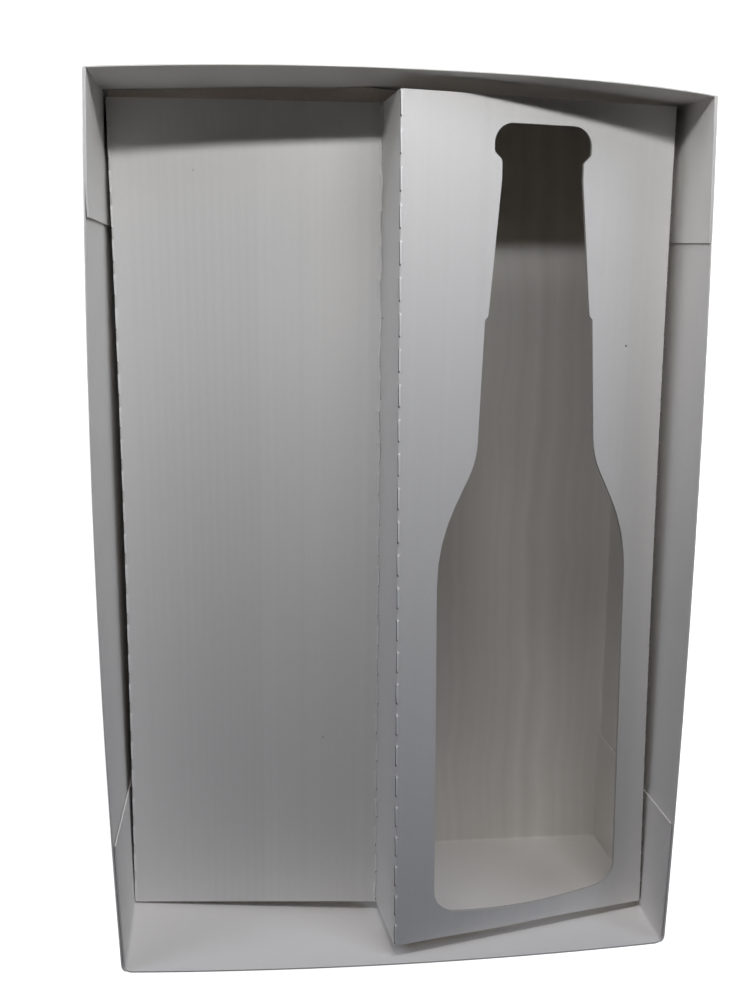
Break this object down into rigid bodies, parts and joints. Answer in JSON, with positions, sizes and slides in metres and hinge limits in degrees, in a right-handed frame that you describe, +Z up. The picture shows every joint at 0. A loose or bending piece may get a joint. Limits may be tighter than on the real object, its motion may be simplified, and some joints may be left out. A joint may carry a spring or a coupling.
{
  "type": "bottle shipping box",
  "caption": "Open white card tray with a folded insert: a raised platform cut to a longneck bottle's outline beside a recessed panel.",
  "frame": {"origin": "centre of the tray's underside, on the surface it stands on", "axes": "+Y along the bottle towards its cap, +X from the recessed panel to the bottle platform, +Z up out of the open tray"},
  "size_m": [0.1696, 0.2564, 0.0705],
  "materials": {
    "tray_board": "white coated solid board, matt with a faint sheen",
    "insert_board": "white fine-flute board, satin, with faint flute lines along the length"
  },
  "bodies": {
    "root": {"tray": "tray_board", "insert": "insert_board"}
  },
  "joints": []
}
